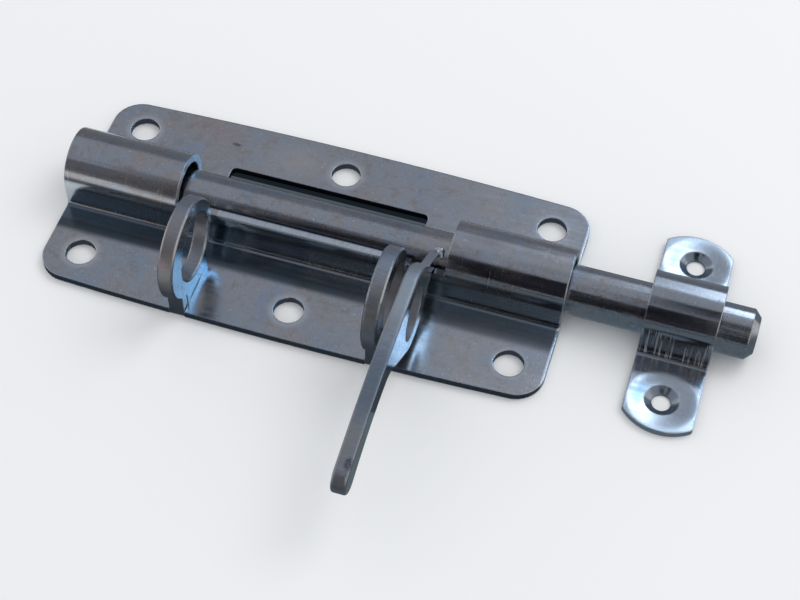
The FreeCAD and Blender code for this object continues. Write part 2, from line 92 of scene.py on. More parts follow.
# the plate's bends and cuts, in millimetres: the near wall stands clear of the bolt, and the
# window ends beyond the left ear and the lever
SHEET_TOP = 2.0
WALL_INSIDE = BOLT_AXIS[Y] - BOLT_RADIUS - 0.7
WALL_OUTSIDE = WALL_INSIDE - SHEET_TOP
WALL_TOP, DIP_TOP = 12.4, 11.5
WINDOW_LEFT, WINDOW_RIGHT = LEFT_EAR[0] - 7.2, LEVER_RIGHT + 3.0
SLOT_LEFT, SLOT_RIGHT, SLOT_FAR = -31.2, 26.4, 17.6

# levels of the floor and of what lies on it, in millimetres, and the ways that cards face
FLOOR_LEVEL, CARD_LEVEL = -0.2, -0.1
UP, DOWN = (0.0, 0.0, 1.0), (0.0, 0.0, -1.0)
FORTH, BACK = (0.0, 1.0, 0.0), (0.0, -1.0, 0.0)

# tints of single places
# painted sheen on the near wall's outer face
WALL_SHEEN = (0.66, 0.80, 0.88)
WARM_CLOUD = (0.60, 0.56, 0.53)
# bright bare steel and painted highlight on the plate's right end
BARE_END_AND_HIGHLIGHT = (0.92, 0.95, 0.98)
BROWN_RIM = (0.36, 0.335, 0.32)
PINK_RIM = (0.62, 0.40, 0.50)
# painted sheen on the keeper's feet
FOOT_SHEEN = (0.60, 0.72, 0.84)


def colour_property(name, description, default):
    """A colour swatch."""
    return FloatVectorProperty(
        name=name, description=description, default=default, subtype="COLOR",
        size=3, min=0.0, max=1.0,
    )


def amount_property(name, description, default, top=1.0):
    """A plain number from nothing to its top value."""
    return FloatProperty(name=name, description=description, default=default, min=0.0, max=top)


class PlatingSettings(PropertyGroup):
    """Colours and finish of the zinc plating."""

    zinc: colour_property("Zinc", "Plating on flat rolled sheet", (0.412, 0.434, 0.468))
    warm: colour_property("Warm tint", "Brownish stain in the plating", (0.455, 0.405, 0.385))
    cool: colour_property("Cool tint", "Bluish stain in the plating", (0.330, 0.410, 0.510))
    # bright is real wear on edges and scratches, and also a painted highlight on the plate, its cut edges and the
    # lever's rims
    bright: colour_property("Bright edge", "Rubbed edges and scratches", (0.700, 0.740, 0.780))
    rim: colour_property("Sheared edge", "Dull stamped rims", (0.335, 0.352, 0.390))
    # soot is real dirt on the pores, the scuff and the lever's mark, and also painted shade in the slot, the near
    # wall's dips and on the ears
    soot_and_shade: colour_property("Soot", "Dark marks and specks", (0.045, 0.040, 0.045))
    # painted shade: dark reflection on the flange at the near wall's foot and on the plate's near edge, and shade
    # on the lever and in the keeper's countersinks
    painted_shade: colour_property("Burnish", "Dark rubbed sheet at the bends", (0.110, 0.160, 0.205))
    rust: colour_property("Rust", "Small brown marks", (0.200, 0.110, 0.070))
    gloss: amount_property("Sheet roughness", "Roughness of the plated sheet", 0.17)
    dull: amount_property("Rim roughness", "Roughness of the stamped rims", 0.42)
    edge_width: FloatProperty(
        name="Edge width", description="Width of the rubbed edges", default=0.5 * MM,
        min=0.0, subtype="DISTANCE", unit="LENGTH",
    )


class StageSettings(PropertyGroup):
    """Floor, light and camera."""

    floor: colour_property("Floor", "Pale floor and background", (0.960, 0.960, 0.960))
    daylight: amount_property("Daylight", "Strength of the surrounding light", 0.80, 5.0)
    ceiling: colour_property("Ceiling", "Grey ceiling over the stage", (0.405, 0.425, 0.475))
    back_wall: colour_property("Back wall", "Grey wall beyond the part", (0.200, 0.220, 0.260))
    far_table: colour_property("Far table", "Grey table beyond the part", (0.230, 0.250, 0.280))
    flag: colour_property("Flag", "Dark card behind the camera", (0.016, 0.015, 0.020))
    side_flag: colour_property("Side flag", "Grey card left of the camera", (0.185, 0.180, 0.195))
    table: colour_property("Table", "Dark table seen in the metal", (0.060, 0.075, 0.095))
    near_table: colour_property("Near table", "Grey table beside the part", (0.170, 0.205, 0.230))
    # the two shades are dark glowing panels laid on the floor as painted shade
    shade: colour_property("Shade", "Deep shade under the slot's far side", (0.010, 0.014, 0.020))
    under: colour_property("Under shade", "Shade under the bolt", (0.075, 0.095, 0.105))
    window: colour_property("Window", "Colour of the window", (0.760, 0.870, 1.000))
    sky: colour_property("Sky", "Colour of the sky beside the window", (0.070, 0.340, 0.640))
    window_level: amount_property("Window level", "Brightness of the window", 4.4, 20.0)
    lens: FloatProperty(
        name="Lens", description="Focal length of the camera", default=77.04, min=1.0,
        unit="CAMERA",
    )


def plating():
    """The scene's plating settings."""
    return bpy.context.scene.padbolt_plating


def stage_settings():
    """The scene's stage settings."""
    return bpy.context.scene.padbolt_stage


def scaled(colour, scale):
    """A lighter or darker copy of a colour."""
    return [part * scale for part in colour]


class Finish:
    """A metal under construction, with the colour, roughness and normal that it has so far.

    Places are millimetres on the piece. A mask is one where it holds and nought elsewhere.
    """

    def __init__(self, name, roughness):
        self.material = bpy.data.materials.new(name)
        self.material.use_nodes = True
        self.tree = self.material.node_tree
        self.shader = self.tree.nodes["Principled BSDF"]
        self.shader.inputs["Metallic"].default_value = 1.0
        self.shader.inputs["Roughness"].default_value = roughness
        self.coordinates = self.node("ShaderNodeTexCoord").outputs
        self.place = self.mapped((1.0, 1.0, 1.0))
        self.x, self.y, self.z = self.node("ShaderNodeSeparateXYZ", Vector=self.place).outputs
        facing = self.node("ShaderNodeSeparateXYZ", Vector=self.coordinates["Normal"])
        self.facing_x, self.facing_y, self.facing_z = facing.outputs

    def node(self, kind, **inputs):
        """A node with these inputs set or linked."""
        made = self.tree.nodes.new(kind)
        for key, value in inputs.items():
            self.feed(made.inputs[key], value)
        return made

    def feed(self, socket, value):
        """Link an output to a socket, or set the socket's value."""
        if isinstance(value, bpy.types.NodeSocket):
            self.tree.links.new(value, socket)
        elif socket.type == "RGBA" and len(value) == 3:
            socket.default_value = (*value, 1.0)
        else:
            socket.default_value = value

    def mapped(self, per_mm, turn=(0.0, 0.0, 0.0)):
        """Object coordinates scaled to so many units per millimetre, then turned."""
        made = self.node("ShaderNodeMapping", Vector=self.coordinates["Object"])
        made.inputs["Scale"].default_value = scaled(per_mm, 1.0 / MM)
        made.inputs["Rotation"].default_value = [math.radians(angle) for angle in turn]
        return made.outputs["Vector"]

    def step(self, kind, operation, *values):
        """Outputs of one arithmetic node."""
        made = self.node(kind)
        made.operation = operation
        for socket, value in zip(made.inputs, values):
            self.feed(socket, value)
        return made.outputs

    def math(self, operation, *values):
        """One step of arithmetic."""
        return self.step("ShaderNodeMath", operation, *values)[0]

    def vector_math(self, operation, *values):
        """Outputs of one step of arithmetic with vectors."""
        return self.step("ShaderNodeVectorMath", operation, *values)

    def product(self, first, *others):
        """Values multiplied together."""
        for other in others:
            first = self.math("MULTIPLY", first, other)
        return first

    def greatest(self, first, *others):
        """The greatest of these values."""
        for other in others:
            first = self.math("MAXIMUM", first, other)
        return first

    def absolute(self, value):
        """A value without its sign."""
        return self.math("ABSOLUTE", value)

    def spread(self, value, low, high, start=0.0, end=1.0, smooth=True):
        """A value taken from one range to another, held at the ends."""
        made = self.node("ShaderNodeMapRange")
        made.interpolation_type = "SMOOTHSTEP" if smooth else "LINEAR"
        for key, number in zip(("Value", "From Min", "From Max", "To Min", "To Max"),
                               (value, low, high, start, end)):
            self.feed(made.inputs[key], number)
        return made.outputs["Result"]

    def within(self, value, low, high, soft):
        """Mask between low and high, fading out over soft on both sides."""
        return self.product(self.spread(value, low - soft, low + soft),
                            self.spread(value, high + soft, high - soft))

    def flat_on(self, facing):
        """Mask of the faces that look straight along the axis of this part of the normal."""
        return self.spread(facing, 0.90, 0.98)

    def noise(self, scale, detail, per_mm=(1.0, 1.0, 1.0), turn=(0.0, 0.0, 0.0), rough=0.5):
        """Noise with this many cells per millimetre."""
        made = self.node("ShaderNodeTexNoise", Vector=self.mapped(per_mm, turn), Scale=scale,
                         Detail=detail, Roughness=rough)
        return made.outputs["Fac"]

    def mixed(self, factor, first, second, mode="MIX"):
        """Two colours mixed by a factor."""
        made = self.tree.nodes.new("ShaderNodeMix")
        made.data_type = "RGBA"
        made.blend_type = mode
        self.feed(made.inputs[0], factor)
        self.feed(made.inputs[6], first)
        self.feed(made.inputs[7], second)
        return made.outputs[2]

    def blot(self, centre, size, soft):
        """Mask of an ellipsoid about a centre, fading out at its skin."""
        away = self.vector_math("SUBTRACT", self.place, centre)[0]
        counted = self.vector_math("DIVIDE", away, size)[0]
        reach = self.vector_math("LENGTH", counted)["Value"]
        return self.spread(reach, 1.0 - soft, 1.0, 1.0, 0.0)

    def round_about(self, centre):
        """Distance from the upright axis through this X and Y."""
        away = self.vector_math("SUBTRACT", self.place, (*centre, 0.0))[0]
        flat = self.vector_math("MULTIPLY", away, (1.0, 1.0, 0.0))[0]
        return self.vector_math("LENGTH", flat)["Value"]

    def edges(self, width):
        """Rounded normal near the edges, and the mask where it departs from the true one."""
        rounded = self.node("ShaderNodeBevel", Radius=width)
        rounded.samples = 4
        true = self.node("ShaderNodeNewGeometry").outputs["Normal"]
        match = self.vector_math("DOT_PRODUCT", rounded.outputs[0], true)["Value"]
        return rounded.outputs[0], self.spread(match, 0.995, 0.86)

    def paint(self, tint, *masks):
        """Mix a tint into the colour, by the product of these masks and amounts."""
        self.colour = self.mixed(self.product(*masks), self.colour, tint)

    def roughen(self, *masks):
        """Add the product of these masks and amounts to the roughness."""
        self.rough = self.math("ADD", self.rough, self.product(*masks))

    def bump(self, height, strength, depth=0.05):
        """Lay a bump of this depth over the normal."""
        self.normal = self.node("ShaderNodeBump", Height=height, Strength=strength,
                                Distance=depth * MM, Normal=self.normal).outputs[0]

    def close(self):
        """Join the colour, roughness and normal to the shader."""
        self.feed(self.shader.inputs["Base Color"], self.colour)
        self.feed(self.shader.inputs["Roughness"], self.rough)
        self.feed(self.shader.inputs["Normal"], self.normal)
        return self.material


def scratches(finish, turn, length, density):
    """Mask of thin random lines, of a length in millimetres, turned about Z."""
    line = finish.noise(1.0, 1.0, (density, 1.0 / length, density), (0.0, 0.0, turn), 0.3)
    gate = finish.noise(0.11, 1.0, turn=(turn, 37.0, 0.0))
    return finish.product(finish.spread(line, 0.69, 0.73), finish.spread(gate, 0.50, 0.62))


def plated(name, scale=1.0, roughness=None, stain=0.85, rubbed=1.0):
    """The common start of every finish: tint, specks, scratches, rubbed edges and relief."""
    look = plating()
    roughness = look.gloss if roughness is None else roughness
    finish = Finish(name, roughness)

    # clouds of a warm and a cool tint, and a finer mottle of both
    finish.clouds = finish.noise(0.055, 4.0, rough=0.6)
    mottle = finish.noise(0.33, 5.0, turn=(15.0, 20.0, 0.0), rough=0.7)
    finish.colour = scaled(look.zinc, scale)
    for tint, pattern, low, high, amount in (
        (scaled(look.warm, scale), finish.clouds, 0.46, 0.66, stain),
        (scaled(look.cool, scale), finish.clouds, 0.46, 0.30, stain),
        (scaled(look.warm, 0.80 * scale), mottle, 0.50, 0.68, 0.80 * stain),
        (scaled(look.cool, 1.12 * scale), mottle, 0.48, 0.32, 0.70 * stain),
    ):
        finish.paint(tint, finish.spread(pattern, low, high, 0.0, amount))

    finish.grain = finish.noise(3.2, 3.0, rough=0.65)
    grey = finish.node("ShaderNodeCombineColor", Red=finish.grain, Green=finish.grain,
                       Blue=finish.grain).outputs[0]
    finish.colour = finish.mixed(0.55, finish.colour, grey, "SOFT_LIGHT")

    lines = finish.greatest(scratches(finish, 24.0, 4.0, 3.4), scratches(finish, -63.0, 3.0, 4.1))
    finish.paint(look.bright, lines, 0.08)
    finish.paint(look.bright, finish.spread(finish.noise(1.15, 0.0), 0.775, 0.80), 0.4)
    pores = finish.noise(1.6, 1.0, turn=(40.0, 0.0, 0.0))
    finish.paint(look.soot_and_shade, finish.spread(pores, 0.24, 0.20), 0.5)

    finish.normal, finish.edge = finish.edges(look.edge_width)
    worn = finish.spread(finish.clouds, 0.30, 0.62, 0.20 * rubbed, 0.60 * rubbed)
    finish.paint(look.bright, finish.edge, worn)

    streaks = finish.noise(0.9, 3.0, (0.05, 1.0, 1.0))
    finish.rough = finish.spread(streaks, 0.25, 0.75, roughness - 0.05, roughness + 0.07, False)
    finish.roughen(lines, 0.06)
    finish.roughen(finish.spread(finish.clouds, 0.40, 0.70, -0.02, 0.06))
    relief = finish.math("ADD", finish.grain, finish.product(streaks, 0.9))
    finish.relief = finish.math("SUBTRACT", relief, finish.product(lines, 0.4))
    return finish


def draw_marks(finish, amount, start=0.62):
    """Mask of the fine lines that the die leaves up the walls; a low start gives more."""
    combed = finish.noise(1.0, 2.0, (2.4, 0.06, 0.06), rough=0.7)
    patch = finish.noise(0.12, 2.0, (1.0, 0.4, 0.4), (0.0, 0.0, 11.0))
    return finish.product(
        finish.spread(combed, start, start + 0.08),
        finish.spread(finish.absolute(finish.facing_z), 0.92, 0.55),
        finish.spread(patch, start - 0.15, start - 0.02, 0.0, amount),
    )


def wear(node, material):
    """Give a node its material."""
    piece = frame["nodes"][node]
    piece.data.materials.clear()
    piece.data.materials.append(material)


def cut_steel_and_highlight(finish):
    """Bright cut steel, partly a painted highlight: the near wall's top between the ears, and the sheet's ends
    across the bolt.
    """
    strip = finish.product(
        finish.within(finish.x, LEFT_EAR[1] + 0.3, RIGHT_EAR[0] - 0.3, 0.2),
        finish.within(finish.y, WALL_OUTSIDE + 0.85, WALL_INSIDE + 1.4, 0.3),
        finish.within(finish.z, WALL_TOP - 0.3, WALL_TOP + 0.3, 0.1),
        finish.flat_on(finish.facing_z),
    )
    # the short steps of the wall beside the ears are left without the bright paint
    steps = finish.product(finish.within(finish.x, -31.0, 31.0, 0.3),
                           finish.within(finish.y, -12.0, 0.0, 0.3))
    ends = finish.product(finish.flat_on(finish.absolute(finish.facing_x)),
                          finish.math("SUBTRACT", 1.0, steps))
    cut = finish.greatest(strip, ends)
    nap = finish.noise(1.0, 2.0, (3.0, 0.4, 0.4))
    finish.paint(plating().bright, cut, finish.spread(nap, 0.3, 0.6, 0.35, 0.75))
    finish.roughen(cut, 0.16)
    finish.roughen(ends, 0.12)


def paint_wall_sheen_and_foot_shade(finish):
    """Painted sheen on the near wall, lighter and bluer on its outer face, and painted dark reflection on the
    flange at its foot.
    """
    painted_shade = plating().painted_shade
    upright = finish.spread(finish.facing_y, -0.975, -0.995, 0.0, 0.5)
    between = finish.product(finish.spread(finish.facing_y, -0.80, -0.97),
                             finish.within(finish.x, WINDOW_LEFT + 0.3, WINDOW_RIGHT - 0.3, 0.1))
    # painted sheen: lighter and bluer on the wall's outer face and its bend
    finish.paint(WALL_SHEEN, finish.greatest(upright, between),
                 finish.within(finish.y, WALL_OUTSIDE - 0.7, WALL_OUTSIDE + 1.2, 0.4), 0.75)
    # painted dark reflection of the wall on the flange at its foot, darker towards the tunnels
    flat = finish.spread(finish.z, SHEET_TOP + 0.6, SHEET_TOP + 0.1)
    ends_darker = finish.spread(finish.absolute(finish.x), 34.0, 40.0, 0.55, 0.92)
    finish.paint(painted_shade, finish.within(finish.y, -13.0, -8.3, 0.7), flat, ends_darker)
    finish.paint(scaled(painted_shade, 0.42), finish.within(finish.y, -16.7, -12.8, 1.1), flat, 0.88)


def lighten_plate(finish):
    """Painted highlight, lighter towards the right end and round the screw holes, and one warm cloud."""
    light = finish.spread(finish.x, 0.0, 68.0, 0.0, 0.22)
    for hole in PLATE_HOLES:
        halo = finish.spread(finish.round_about(hole), PLATE_HOLE_RADIUS + 2.3,
                             PLATE_HOLE_RADIUS + 0.2, 0.0, 0.45)
        light = finish.greatest(light, halo)
    finish.paint(plating().bright, light, finish.flat_on(finish.facing_z))
    cloud = finish.blot((-15.0, 25.0, SHEET_TOP), (17.0, 9.0, 3.0), 1.0)
    finish.paint(WARM_CLOUD, cloud, 0.5)


def tint_outline(finish):
    """The plate's cut edges: painted dark reflection along the near side, and bright bare steel with a painted
    highlight at the right end.
    """
    finish.paint(plating().painted_shade, finish.spread(finish.facing_y, -0.5, -0.9),
                 finish.spread(finish.y, -29.0, -31.0), 0.6)
    finish.paint(BARE_END_AND_HIGHLIGHT, finish.spread(finish.x, PLATE_RIGHT - 0.85, PLATE_RIGHT - 0.55),
                 finish.spread(finish.z, SHEET_TOP + 1.0, SHEET_TOP + 0.4), 0.9)


def paint_opening_shade(finish):
    """Painted shade inside the slot, on the stub beside it, and in the dips of the near wall."""
    slot = finish.product(
        finish.within(finish.x, SLOT_LEFT - 0.4, SLOT_RIGHT + 0.5, 0.2),
        finish.within(finish.y, 12.0, SLOT_FAR + 0.3, 0.1),
        finish.spread(finish.facing_z, 0.80, 0.60),
    )
    stub = finish.product(
        finish.within(finish.x, SLOT_LEFT - 0.1, SLOT_RIGHT + 0.2, 0.2),
        finish.within(finish.y, 7.5, 12.6, 0.1),
        finish.spread(finish.z, 3.6, 3.2),
    )
    corner = finish.product(
        finish.within(finish.x, RIGHT_EAR[0] + 0.2, RIGHT_EAR[1] + 0.9, 0.1),
        finish.within(finish.y, WALL_OUTSIDE + 0.7, WALL_INSIDE + 1.4, 0.1),
        finish.spread(finish.z, DIP_TOP - 0.5, DIP_TOP - 0.3),
    )
    beside_ears = finish.math(
        "SUBTRACT",
        finish.within(finish.x, WINDOW_LEFT + 0.2, WINDOW_RIGHT - 0.2, 0.1),
        finish.within(finish.x, LEFT_EAR[0] - 0.2, RIGHT_EAR[1] + 0.2, 0.1),
    )
    dips = finish.product(
        beside_ears,
        finish.within(finish.y, WALL_OUTSIDE - 0.2, WALL_INSIDE + 1.4, 0.2),
        finish.spread(finish.z, DIP_TOP - 0.3, DIP_TOP - 0.1),
    )
    finish.paint(plating().soot_and_shade, finish.greatest(slot, stub, corner, dips), 0.92)


def stain_plate(finish):
    """A short dark scuff beyond the slot, and brown marks on the tunnels."""
    look = plating()
    for tint, amount, centre, size, soft, low, high in (
        (look.soot_and_shade, 0.80, (-33.1, 25.8, SHEET_TOP), (1.9, 0.75, 1.0), 0.6, 0.40, 0.55),
        (look.rust, 0.75, (-51.9, -3.4, 17.7), (2.4, 1.1, 1.6), 0.8, 0.46, 0.60),
        (look.rust, 0.55, (42.5, -3.0, 17.6), (6.5, 2.0, 2.4), 0.9, 0.47, 0.62),
        (look.rust, 0.55, (47.0, 1.0, 18.6), (9.0, 2.2, 2.0), 0.9, 0.47, 0.62),
    ):
        finish.paint(tint, finish.blot(centre, size, soft),
                     finish.spread(finish.grain, low, high), amount)


class PADBOLT_OT_back_plate(Operator):
    """Plate the pressed back plate, with its die marks and cut edges"""

    bl_idname = "padbolt.back_plate"
    bl_label = "Back plate"

    def execute(self, context):
        finish = plated("plated_sheet")
        marks = draw_marks(finish, 0.8)
        finish.paint(plating().bright, marks)
        finish.roughen(marks, 0.15)
        cut_steel_and_highlight(finish)
        paint_wall_sheen_and_foot_shade(finish)
        lighten_plate(finish)
        tint_outline(finish)
        paint_opening_shade(finish)
        stain_plate(finish)
        finish.bump(finish.relief, 0.10)
        wear("back_plate", finish.close())
        return {"FINISHED"}


def stamped(name):
    """A thick stamping with plated faces towards X, and the mask of its dull sheared rims."""
    look = plating()
    finish = plated(name, 1.1, rubbed=0.35)
    rims = finish.spread(finish.absolute(finish.facing_x), 0.80, 0.55)
    shear = finish.noise(1.0, 3.0, (0.35, 1.6, 1.6), rough=0.6)
    tone = finish.mixed(finish.spread(shear, 0.35, 0.65), scaled(look.rim, 0.92),
                        scaled(look.rim, 1.08))
    brown = finish.spread(finish.clouds, 0.42, 0.62, 0.0, 0.6)
    finish.paint(finish.mixed(brown, tone, BROWN_RIM), rims)
    finish.paint(look.bright, finish.edge, rims, 0.12)
    finish.roughen(rims, look.dull - look.gloss)
    return finish, rims


class PADBOLT_OT_ears(Operator):
    """Plate the two padlock ears, with dull stamped rims"""

    bl_idname = "padbolt.ears"
    bl_label = "Padlock ears"

    def execute(self, context):
        look = plating()
        finish = stamped("plated_ear")[0]
        # dirt and painted shade in the joint under the foot
        joint = finish.blot((0.0, -24.9, SHEET_TOP), (60.0, 5.4, 1.0), 0.30)
        finish.paint(look.soot_and_shade, joint, 0.95)
        # painted dark reflection on the top of the right faces, towards the bolt
        top = finish.product(
            finish.spread(finish.y, -21.5, -17.5), finish.spread(finish.z, 17.0, 21.0),
            finish.spread(finish.facing_x, 0.6, 0.9),
        )
        finish.paint(look.soot_and_shade, top, 0.93)
        finish.roughen(top, 0.30)
        # pinkish stain on the left ear's rim
        finish.paint(PINK_RIM, finish.blot((-29.2, -35.6, 24.5), (2.2, 2.0, 2.4), 0.9), 0.5)
        finish.bump(finish.relief, 0.09)
        material = finish.close()
        wear("left_ear", material)
        wear("right_ear", material)
        return {"FINISHED"}


class PADBOLT_OT_bolt(Operator):
    """Plate the round bolt, with fine lines along the drawn bar"""

    bl_idname = "padbolt.bolt"
    bl_label = "Round bolt"

    def execute(self, context):
        look = plating()
        finish = plated("plated_bar", roughness=look.gloss + 0.03)
        pits = finish.noise(1.7, 2.0, (0.6, 1.0, 1.0))
        finish.paint(look.soot_and_shade, finish.spread(pits, 0.60, 0.70), 0.22)
        ends = finish.flat_on(finish.absolute(finish.facing_x))
        finish.paint(scaled(look.rim, 0.55), ends, 0.70)
        finish.roughen(ends, 0.15)
        finish.bump(finish.relief, 0.09)
        wear("bolt_rod", finish.close())
        return {"FINISHED"}


def weld_bead():
    """Small weld where the tongue's right side meets the bolt, as one lumpy mesh."""
    shape = bmesh.new()
    # each blob's place beyond the lever's right face, angle round the bolt and half sizes
    for beyond, angle, half in (
        (0.3, 62.0, (1.05, 1.25, 0.95)),
        (-0.6, 67.0, (0.90, 0.80, 0.70)),
        (0.8, 54.0, (0.60, 0.90, 0.60)),
    ):
        out = Vector((0.0, -math.cos(math.radians(angle)), math.sin(math.radians(angle))))
        middle = Vector((LEVER_RIGHT + beyond, BOLT_AXIS[Y], BOLT_AXIS[Z]))
        blob = bmesh.ops.create_icosphere(shape, subdivisions=3, radius=MM)["verts"]
        bmesh.ops.scale(shape, vec=half, verts=blob)
        turn = Matrix.Rotation(math.radians(90.0 - angle), 3, "X")
        bmesh.ops.rotate(shape, cent=(0, 0, 0), matrix=turn, verts=blob)
        bmesh.ops.translate(shape, vec=(middle + out * (BOLT_RADIUS + 0.05)) * MM, verts=blob)
    mesh = bpy.data.meshes.new("tongue_weld")
    for face in shape.faces:
        face.smooth = True
    shape.to_mesh(mesh)
    shape.free()
    bead = bpy.data.objects.new("tongue_weld", mesh)
    bpy.context.scene.collection.objects.link(bead)
    return bead


class PADBOLT_OT_lever(Operator):
    """Plate the lever with its dull long edges, and weld its tongue to the bolt"""

    bl_idname = "padbolt.lever"
    bl_label = "Lever"

    def execute(self, context):
        look = plating()
        finish, rims = stamped("plated_lever")
        # painted highlight on the rims by the ring, and painted shade on the rims and the right face along the
        # handle
        finish.paint(look.bright, finish.spread(finish.y, -42.0, -30.0, 0.0, 0.32), rims)
        finish.paint(look.painted_shade, finish.within(finish.y, -64.0, -46.0, 5.0), rims, 0.50)
        finish.paint(look.painted_shade, finish.spread(finish.facing_x, 0.6, 0.9),
                     finish.spread(finish.y, -36.0, -46.0, 0.0, 0.45))
        # dark mark near the tip
        mark = finish.blot((LEVER_RIGHT - 0.9, -76.4, 23.4), (1.5, 2.4, 1.4), 0.7)
        finish.paint(look.soot_and_shade, mark, finish.spread(finish.grain, 0.36, 0.56), 0.85)
        finish.bump(finish.relief, 0.09)
        wear("lever", finish.close())

        bead = weld_bead()
        finish = plated("weld_metal", 1.35, look.gloss + 0.05)
        finish.bump(finish.grain, 0.5, 0.10)
        bead.data.materials.append(finish.close())
        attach(bead, "lever")
        return {"FINISHED"}


class PADBOLT_OT_keeper(Operator):
    """Plate the keeper strap, with a painted sheen on its feet, die marks on its walls and painted shade in its
    countersinks
    """

    bl_idname = "padbolt.keeper"
    bl_label = "Keeper"

    def execute(self, context):
        look = plating()
        finish = plated("plated_strap", 1.02, stain=0.35)
        upright = finish.within(finish.z, 2.4, 11.5, 0.7)
        marks = finish.product(draw_marks(finish, 0.95, 0.52), upright)
        finish.paint(look.bright, marks)
        finish.roughen(marks, 0.466)
        from_middle = finish.absolute(finish.math("SUBTRACT", finish.y, KEEPER_MIDDLE))
        # painted sheen: lighter and bluer on the feet
        finish.paint(FOOT_SHEEN, finish.spread(from_middle, 13.5, 17.0), 0.30)
        finish.bump(finish.relief, 0.10)
        # the sheet is dished round each countersink, and the cone is painted with shade
        for hole in KEEPER_HOLES:
            away = finish.round_about(hole)
            finish.paint(look.painted_shade, finish.spread(away, 4.7, 4.2), 0.45)
            finish.bump(finish.spread(away, 3.5, 9.5), 1.0, 0.38)
        wear("keeper", finish.close())
        return {"FINISHED"}


def panel(name, size, place, facing, material):
    """A flat panel of the stage, its front turned in this direction."""
    shape = bmesh.new()
    bmesh.ops.create_grid(shape, x_segments=1, y_segments=1, size=0.5)
    bmesh.ops.scale(shape, vec=(*size, 1.0), verts=shape.verts)
    turn = Vector(facing).to_track_quat("Z", "Y").to_matrix()
    bmesh.ops.rotate(shape, cent=(0, 0, 0), matrix=turn, verts=shape.verts)
    bmesh.ops.translate(shape, vec=place, verts=shape.verts)
    mesh = bpy.data.meshes.new(name)
    shape.to_mesh(mesh)
    shape.free()
    made = bpy.data.objects.new(name, mesh)
    made.data.materials.append(material)
    bpy.context.scene.collection.objects.link(made)
    return made


def lit_material(name, colour, strength=1.0):
    """A plain material that gives off its own colour."""
    material = bpy.data.materials.new(name)
    material.use_nodes = True
    tree = material.node_tree
    tree.nodes.remove(tree.nodes["Principled BSDF"])
    glow = tree.nodes.new("ShaderNodeEmission")
    glow.inputs["Color"].default_value = (*colour, 1.0)
    glow.inputs["Strength"].default_value = strength
    tree.links.new(glow.outputs[0], tree.nodes["Material Output"].inputs["Surface"])
    return material


def card(name, size, place, facing, colour, strength=1.0):
    """A card that only shows in the metal."""
    made = panel(name, size, place, facing, lit_material(name, colour, strength))
    made.visible_camera = False
    made.visible_diffuse = False
    made.visible_transmission = False
    made.visible_volume_scatter = False
    made.visible_shadow = False
    return made


def lying(left, right, near, far):
    """Size and place of a card that lies on the floor between these edges, in millimetres."""
    size = ((right - left) * MM, (far - near) * MM)
    return size, ((left + right) / 2 * MM, (near + far) / 2 * MM, CARD_LEVEL * MM)


def shade_window(window, look):
    """Grade the window's card along X: ceiling grey, white window, blue sky."""
    tree = window.data.materials[0].node_tree
    place = tree.nodes.new("ShaderNodeTexCoord")
    parts = tree.nodes.new("ShaderNodeSeparateXYZ")
    ramp = tree.nodes.new("ShaderNodeValToRGB")
    tree.links.new(place.outputs["Object"], parts.inputs[0])
    tree.links.new(parts.outputs[0], ramp.inputs[0])
    tree.links.new(ramp.outputs["Color"], tree.nodes["Emission"].inputs["Color"])
    stops = (
        (0.02, scaled(look.ceiling, 1.0 / look.window_level)),
        (0.09, scaled(look.window, 0.16)),
        (0.122, scaled(look.window, 0.38)),
        (0.155, look.window),
        (0.20, look.window),
        (0.245, look.sky),
        (0.44, look.sky),
        (0.58, scaled(look.sky, 0.3)),
    )
    # the ramp has two elements from the start
    for spot, _ in stops[2:]:
        ramp.color_ramp.elements.new(spot)
    for element, (spot, colour) in zip(ramp.color_ramp.elements, stops):
        element.position = spot
        element.color = (*colour, 1.0)


def set_floor(look):
    """The pale matt floor."""
    paint = bpy.data.materials.new("floor_paint")
    paint.use_nodes = True
    shader = paint.node_tree.nodes["Principled BSDF"]
    shader.inputs["Base Color"].default_value = (*look.floor, 1.0)
    shader.inputs["Roughness"].default_value = 0.9
    shader.inputs["Specular IOR Level"].default_value = 0.0
    panel("floor", (6.0, 6.0), (0.0, 0.0, FLOOR_LEVEL * MM), UP, paint)


def set_daylight(scene, look):
    """Soft light from all round, and a pale backdrop for the camera, metal and glass."""
    world = scene.world or bpy.data.worlds.new("daylight")
    scene.world = world
    world.use_nodes = True
    nodes, links = world.node_tree.nodes, world.node_tree.links
    nodes.clear()
    rays = nodes.new("ShaderNodeLightPath").outputs
    seen = rays["Is Camera Ray"]
    for kind in ("Is Glossy Ray", "Is Transmission Ray"):
        either = nodes.new("ShaderNodeMath")
        either.operation = "MAXIMUM"
        links.new(seen, either.inputs[0])
        links.new(rays[kind], either.inputs[1])
        seen = either.outputs[0]
    mix = nodes.new("ShaderNodeMixShader")
    links.new(seen, mix.inputs[0])
    for socket, colour, strength in ((mix.inputs[1], (0.95, 0.97, 1.0), look.daylight),
                                     (mix.inputs[2], look.floor, 1.0)):
        light = nodes.new("ShaderNodeBackground")
        light.inputs["Color"].default_value = (*colour, 1.0)
        light.inputs["Strength"].default_value = strength
        links.new(light.outputs[0], socket)
    output = nodes.new("ShaderNodeOutputWorld")
    links.new(mix.outputs[0], output.inputs["Surface"])


